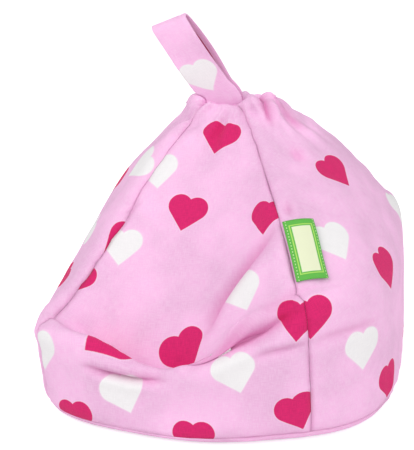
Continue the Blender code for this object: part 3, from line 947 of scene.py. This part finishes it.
def print_hearts(name, panel, settings):
    """Gives each corner of each face its place in the nearest heart, and that heart's tone."""
    hearts = heart_list(name, panel, settings)
    unit = settings.heart_width / HEART_WIDE
    cosine = np.cos(hearts[:, 2])
    sine = np.sin(hearts[:, 2])
    sums = np.zeros((len(panel.start), 2))
    np.add.at(sums, panel.face_of_corner, panel.flat)
    centres = sums / panel.total[:, None]
    x = centres[:, 0, None] - hearts[:, 0]
    y = centres[:, 1, None] - hearts[:, 1]
    far = heart_distance_of(*in_heart(x, y, cosine, sine, unit))
    best = np.argmin(far, axis=1)[panel.face_of_corner]
    x = panel.flat[:, 0] - hearts[best, 0]
    y = panel.flat[:, 1] - hearts[best, 1]
    place = np.empty((len(best), 3), dtype=np.float32)
    place[:, 0], place[:, 1] = in_heart(x, y, cosine[best], sine[best], unit)
    place[:, 2] = hearts[best, 3]
    layer = panel.mesh.attributes.new("print_place", "FLOAT_VECTOR", "CORNER")
    layer.data.foreach_set("vector", place.ravel())


def draw_in_border(mesh, gap):
    """Moves a panel's border towards its own faces by half of a seam's gap."""
    work = bmesh.new()
    work.from_mesh(mesh)
    moves = []
    for vert in work.verts:
        if vert.is_boundary:
            middle = sum((face.calc_center_median() for face in vert.link_faces), Vector())
            way = (middle / len(vert.link_faces) - vert.co).normalized()
            moves.append((vert, way * gap / 2))
    for vert, move in moves:
        vert.co += move
    work.to_mesh(mesh)
    work.free()


class CUSHION_OT_bag(bpy.types.Operator):
    """Sew the bag's five panels and fill them"""

    bl_idname = "cushion.bag"
    bl_label = "Bag and Filling"

    def execute(self, context):
        scene = context.scene
        cloth = scene.cushion_cloth
        form = subdivided(bag_mesh())
        form = puffed(form, scene.cushion_puff)
        form = refined(subdivided(form))
        places, shade, beads = sculpted(form, cloth)
        layer = form.attributes.new("sewn_place", "FLOAT_VECTOR", "POINT")
        layer.data.foreach_set("vector", places.astype(np.float32).ravel())
        # Painted shade for folds and seams, which darkens the cotton's colour.
        layer = form.attributes.new("fold_shade", "FLOAT", "POINT")
        layer.data.foreach_set("value", shade.astype(np.float32))
        cotton = printed_cotton("printed_cotton", cloth)
        for index, name in enumerate(PANEL_NAMES):
            self.sew_panel(form, index, name, scene, cotton)
        self.fill(form, beads)
        return {"FINISHED"}

    def sew_panel(self, form, index, name, scene, cotton):
        mesh = one_panel(form, index)
        item = new_item(name + "_cloth", mesh)
        unwrap(item)
        upright = (0, 1, 0) if index == 0 else (0, 0, 1)
        print_hearts(name, FlatPanel(mesh, PANELS[name], upright), scene.cushion_print)
        set_points(mesh, sewn_places(mesh))
        mesh.attributes.remove(mesh.attributes["sewn_place"])
        draw_in_border(mesh, SEAM_GAP)
        mesh.materials.clear()
        mesh.materials.append(cotton)
        smooth_shaded(mesh)
        shell = item.modifiers.new("Cloth Thickness", "SOLIDIFY")
        shell.thickness = scene.cushion_cloth.thickness
        shell.offset = -1
        joined(item, name)

    def fill(self, form, places):
        mesh = form.copy()
        set_points(mesh, sewn_places(mesh))
        set_points(mesh, kept_under(mesh, places, LEAST_BEADS_BELOW))
        smooth_shaded(mesh)
        mesh.attributes.remove(mesh.attributes["sewn_place"])
        mesh.materials.clear()
        mesh.materials.append(bead_filling_finish())
        mesh.polygons.foreach_set("material_index", [0] * len(mesh.polygons))
        item = new_item("bead_filling", mesh)
        joined(item, "bean_filling")


def surface_tree(mesh):
    return BVHTree.FromPolygons(
        [vert.co for vert in mesh.vertices], [face.vertices for face in mesh.polygons])


def kept_under(mesh, places, depth):
    """Moves each place that is less than a depth under the surface down to that depth."""
    tree = surface_tree(mesh)
    kept = places.copy()
    for index, place in enumerate(places):
        near, normal = tree.find_nearest(Vector(place))[:2]
        if (Vector(place) - near).dot(normal) > -depth:
            kept[index] = near - normal * depth
    kept[:, 2] = np.maximum(kept[:, 2], BEADS_OVER_FLOOR)
    return kept


def sewn_places(mesh):
    """Where each vertex of the cloth lies once it is sewn."""
    flat = np.empty(len(mesh.vertices) * 3, dtype=np.float32)
    mesh.attributes["sewn_place"].data.foreach_get("vector", flat)
    return flat.reshape(-1, 3)


def strap_height(along):
    """Share of the loop's height at a share of the cloth's way up one layer and down the other."""
    return (1 - math.cos(math.tau * along)) / 2


def strap_run(along, settings):
    """The cloth's own length up to there."""
    rise = strap_height(along) * settings.strap_length
    return rise if along < 0.5 else 2 * settings.strap_length - rise


def strap_place(across, along, settings):
    """A place of the folded strap: up its front layer, over the fold and down its back layer."""
    layer = STRAP_THICKNESS / 2 + STRAP_LAYER_GAP
    height = strap_height(along)
    opened = float(smoothstep(0.05, 0.62, height)) * math.sqrt(abs(math.sin(math.tau * along)))
    depth = -math.copysign(layer + STRAP_OPENING * opened, 0.5 - along)
    depth *= float(smoothstep(0.0, 0.06, abs(along - 0.5)))
    rise = height * (settings.strap_length + STRAP_FOOT_SUNK) - STRAP_FOOT_SUNK
    bend = settings.strap_lean * float(smoothstep(0.0, 0.24, rise / settings.strap_length))
    turn = Euler((0, 0, STRAP_TURN)).to_matrix()
    to_side = turn @ Vector((1, 0, 0))
    to_back = turn @ Vector((0, 1, 0))
    axis = to_side * -math.sin(bend) + Vector((0, 0, math.cos(bend)))
    skew = bend * 0.65
    crosswise = to_side * math.cos(skew) + Vector((0, 0, math.sin(skew)))
    foot = Vector(STRAP_FOOT) - to_side * 0.017
    slack = 0.0006 * math.sin(9 * along * math.pi + 3 * across) * math.sin(math.pi * along)
    aside = settings.strap_width * across
    if along > 0.5:
        aside += settings.back_aside * math.sin(math.pi * height) ** 0.7
    return foot + axis * rise + to_back * (depth + slack) + crosswise * aside


def strap_inner_painted_shade(settings):
    """The strap's inner side: dark hot pink painted as the shade in the gap between its two layers,
    with ground pink at its hems.
    """
    maker = new_finish("strap_inner_painted_shade")
    cloth = maker.cloth_place()
    weave = weave_height(maker, cloth, settings.thread_pitch)
    deep = toned(settings.hot, 0.7)
    hem = abs(maker.split(cloth)).smooth(0.0112, 0.0118)
    # Painted shade: the dark colour stands for the shadow inside the folded loop.
    painted_gap_shade = maker.mix(hem, deep, settings.ground)
    maker.set(Base_Color=maker.multiply_mix(weave * 0.2, painted_gap_shade, deep), Roughness=0.85 + weave * 0.1)
    maker.set(Normal=maker.bump(weave, 0.00012, 0.6), Specular_IOR_Level=0.25)
    return maker.owner


class CUSHION_OT_strap(bpy.types.Operator):
    """Fold the carrying strap"""

    bl_idname = "cushion.strap"
    bl_label = "Carrying Strap"

    def execute(self, context):
        settings = context.scene.cushion_strap
        work = bmesh.new()
        bmesh.ops.create_grid(work, x_segments=16, y_segments=128, size=0.5)
        flat = work.loops.layers.uv.new("cloth")
        place = work.loops.layers.float_vector.new("print_place")
        unit = STRAP_HEART_SHARE * context.scene.cushion_print.heart_width / HEART_WIDE
        for face in work.faces:
            for loop in face.loops:
                across = loop.vert.co.x * settings.strap_width
                along = strap_run(loop.vert.co.y + 0.5, settings)
                loop[flat].uv = (across, along)
                middle_along = strap_run(face.calc_center_median().y + 0.5, settings)
                x, y, turn, tone = min(STRAP_HEARTS, key=lambda spot: abs(spot[1] - middle_along))
                spot = in_heart(across - x, along - y, math.cos(turn), math.sin(turn), unit)
                loop[place] = (*spot, tone)
        for vert in work.verts:
            vert.co = strap_place(vert.co.x, vert.co.y + 0.5, settings)
        mesh = bpy.data.meshes.new("carrying_strap")
        work.to_mesh(mesh)
        work.free()
        mesh.materials.append(printed_cotton("strap_cotton", context.scene.cushion_cloth))
        # The inner side's finish is painted shade for the gap between the layers.
        mesh.materials.append(strap_inner_painted_shade(context.scene.cushion_cloth))
        smooth_shaded(mesh)
        item = new_item("carrying_strap", mesh)
        shell = item.modifiers.new("Cloth Thickness", "SOLIDIFY")
        shell.thickness = STRAP_THICKNESS
        shell.offset = 0
        shell.material_offset = 1
        rounding = item.modifiers.new("Folded Edge", "BEVEL")
        rounding.width = 0.0006
        rounding.segments = 2
        rounding.limit_method = "ANGLE"
        joined(item, "handle_loop")
        return {"FINISHED"}


class CUSHION_OT_tag(bpy.types.Operator):
    """Lay the tag out from its seam"""

    bl_idname = "cushion.tag"
    bl_label = "Tag"

    def execute(self, context):
        settings = context.scene.cushion_strap
        work = bmesh.new()
        bmesh.ops.create_grid(work, x_segments=24, y_segments=40, size=0.5)
        flat = work.loops.layers.uv.new("cloth")
        for face in work.faces:
            for loop in face.loops:
                share = loop.vert.co
                loop[flat].uv = (
                    (share.x + 0.5) * settings.tag_width, (share.y + 0.5) * settings.tag_length)
        shares = np.array([(vert.co.x + 0.5, 0.5 - vert.co.y) for vert in work.verts])
        for vert, place in zip(work.verts, self.lying_on_cloth(shares, settings)):
            vert.co = place
        mesh = bpy.data.meshes.new("seam_tag")
        work.to_mesh(mesh)
        work.free()
        mesh.materials.append(tag_ribbon(settings))
        smooth_shaded(mesh)
        item = new_item("seam_tag", mesh)
        shell = item.modifiers.new("Ribbon Thickness", "SOLIDIFY")
        shell.thickness = TAG_THICKNESS
        shell.offset = 1
        joined(item, "label_tag")
        return {"FINISHED"}

    def lying_on_cloth(self, shares, settings):
        """Places of the tag for shares of its width and length, smooth over the puckers."""
        line = self.seam_line()
        top = self.on_line(line, settings.tag_top)
        lower = self.on_line(line, settings.tag_top - settings.tag_length / 2)
        down = (lower - top).normalized()
        under = ("bead_filling", "front_panel_cloth", "right_side_panel_cloth")
        trees = [surface_tree(bpy.data.objects[name].data) for name in under]
        outward = trees[0].find_nearest(lower + Vector((0.013, 0.0, 0.013)))[1]
        across = outward.cross(down).normalized()
        outward = down.cross(across)
        flat = [
            top + across * (SEAM_GAP + settings.tag_width * out) + down * settings.tag_length * low
            for out, low in shares
        ]
        rises = []
        for place in flat:
            hits = [tree.ray_cast(place + outward * 0.03, -outward)[0] for tree in trees]
            hits = [(hit - place).dot(outward) for hit in hits if hit is not None]
            if not hits:
                raise RuntimeError("the tag found no cloth under it")
            rises.append(max(hits))
        out, low = shares.T
        terms = np.stack([np.ones(len(out)), out, low, out * low, out**2, low**2], axis=1)
        fitted = terms @ np.linalg.lstsq(terms, np.array(rises), rcond=None)[0]
        lift = min(float(np.max(np.array(rises) - fitted)), 0.0025) + TAG_CLEARANCE
        curl = 0.0014 * out**2 + 0.0005 * np.sin(2.2 * math.pi * low) * out
        return [place + outward * float(rise) for place, rise in zip(flat, fitted + lift + curl)]

    def seam_line(self):
        """The points of the seam between the front and right panels."""
        mesh = bpy.data.objects["front_panel_cloth"].data
        front = KDTree(len(mesh.vertices))
        for vert in mesh.vertices:
            front.insert(vert.co, vert.index)
        front.balance()
        right = bpy.data.objects["right_side_panel_cloth"].data
        return [vert.co.copy() for vert in right.vertices if front.find(vert.co)[2] < 0.0008]

    def on_line(self, line, height):
        return min(line, key=lambda point: abs(point.z - height))


def seen_plainly(maker):
    """One to the camera, also in shiny things and through clear ones, and else zero."""
    path = maker.node("ShaderNodeLightPath")
    shiny = path.math("MAXIMUM", path.of("Is Glossy Ray"))
    return shiny.math("MAXIMUM", path.of("Is Transmission Ray"))


def studio_floor_finish(lift):
    """Plain matt floor that takes the cushion's shadow and looks white to the camera."""
    maker = new_finish("studio_floor")
    maker.set(Base_Color=(0.86, 0.86, 0.86, 1.0), Roughness=0.9, Emission_Strength=1.0)
    maker.set(Emission_Color=maker.mix(seen_plainly(maker) * lift, (0, 0, 0), (1, 1, 1)))
    return maker.owner


class CUSHION_OT_stage(bpy.types.Operator):
    """Set up the floor, the lamps and the camera"""

    bl_idname = "cushion.stage"
    bl_label = "Studio"

    def execute(self, context):
        scene = context.scene
        settings = scene.cushion_stage
        self.floor(settings.floor_lift)
        scene.world = self.room(settings.sky)
        self.lamp("key_lamp", (-0.9, -1.3, 1.7), 1.6, settings.key_power)
        self.lamp("side_lamp", (1.6, -0.7, 1.0), 1.4, settings.fill_power)
        camera = bpy.data.objects.new("studio_camera", bpy.data.cameras.new("studio_camera"))
        scene.collection.objects.link(camera)
        camera.location = settings.camera_place
        camera.rotation_euler = (math.pi / 2 - settings.camera_fall, 0, settings.camera_turn)
        camera.data.lens = settings.lens
        camera.data.clip_start = 0.05
        scene.camera = camera
        scene.view_settings.view_transform = "Standard"
        return {"FINISHED"}

    def floor(self, lift):
        work = bmesh.new()
        bmesh.ops.create_grid(work, x_segments=1, y_segments=1, size=6.0)
        mesh = bpy.data.meshes.new("studio_floor")
        work.to_mesh(mesh)
        work.free()
        mesh.materials.append(studio_floor_finish(lift))
        new_item("studio_floor", mesh)

    def room(self, sky):
        """Even light from all round, which looks white to the camera."""
        maker = Maker(bpy.data.worlds.new("studio_room"), "Background")
        strength = {0: seen_plainly(maker), 3: sky, 4: 1.0}
        maker.set(Color=(1, 1, 1, 1), Strength=maker.node("ShaderNodeMapRange", None, strength))
        return maker.owner

    def lamp(self, name, place, size, power):
        data = bpy.data.lights.new(name, "AREA")
        data.size = size
        data.energy = power
        item = bpy.data.objects.new(name, data)
        item.location = place
        aim = Vector(LAMP_TARGET) - Vector(place)
        item.rotation_euler = aim.to_track_quat("-Z", "Y").to_euler()
        bpy.context.scene.collection.objects.link(item)


class CUSHION_PT_panel(bpy.types.Panel):
    """The cushion's settings and makers"""

    bl_label = "Tablet Cushion Stand"
    bl_idname = "CUSHION_PT_panel"
    bl_space_type = "VIEW_3D"
    bl_region_type = "UI"
    bl_category = "Cushion"

    def draw(self, context):
        scene = context.scene
        for group in (scene.cushion_cloth, scene.cushion_print, scene.cushion_puff,
                      scene.cushion_strap, scene.cushion_stage):
            box = self.layout.box()
            for name in group.__annotations__:
                box.prop(group, name)
        for maker in (CUSHION_OT_bag, CUSHION_OT_strap, CUSHION_OT_tag, CUSHION_OT_stage):
            self.layout.operator(maker.bl_idname)


GROUPS = {
    "cushion_cloth": CushionClothSettings,
    "cushion_print": CushionPrintSettings,
    "cushion_puff": CushionPuffSettings,
    "cushion_strap": CushionStrapSettings,
    "cushion_stage": CushionStageSettings,
}
TOOLS = (CUSHION_OT_bag, CUSHION_OT_strap, CUSHION_OT_tag, CUSHION_OT_stage, CUSHION_PT_panel)


def register():
    for name, group in GROUPS.items():
        bpy.utils.register_class(group)
        setattr(bpy.types.Scene, name, PointerProperty(type=group))
    for tool in TOOLS:
        bpy.utils.register_class(tool)


def unregister():
    for tool in reversed(TOOLS):
        bpy.utils.unregister_class(tool)
    for name, group in reversed(GROUPS.items()):
        delattr(bpy.types.Scene, name)
        bpy.utils.unregister_class(group)


def main():
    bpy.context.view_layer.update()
    register()
    bpy.ops.cushion.bag()
    bpy.ops.cushion.strap()
    bpy.ops.cushion.tag()
    bpy.ops.cushion.stage()


if __name__ == "__main__":
    main()
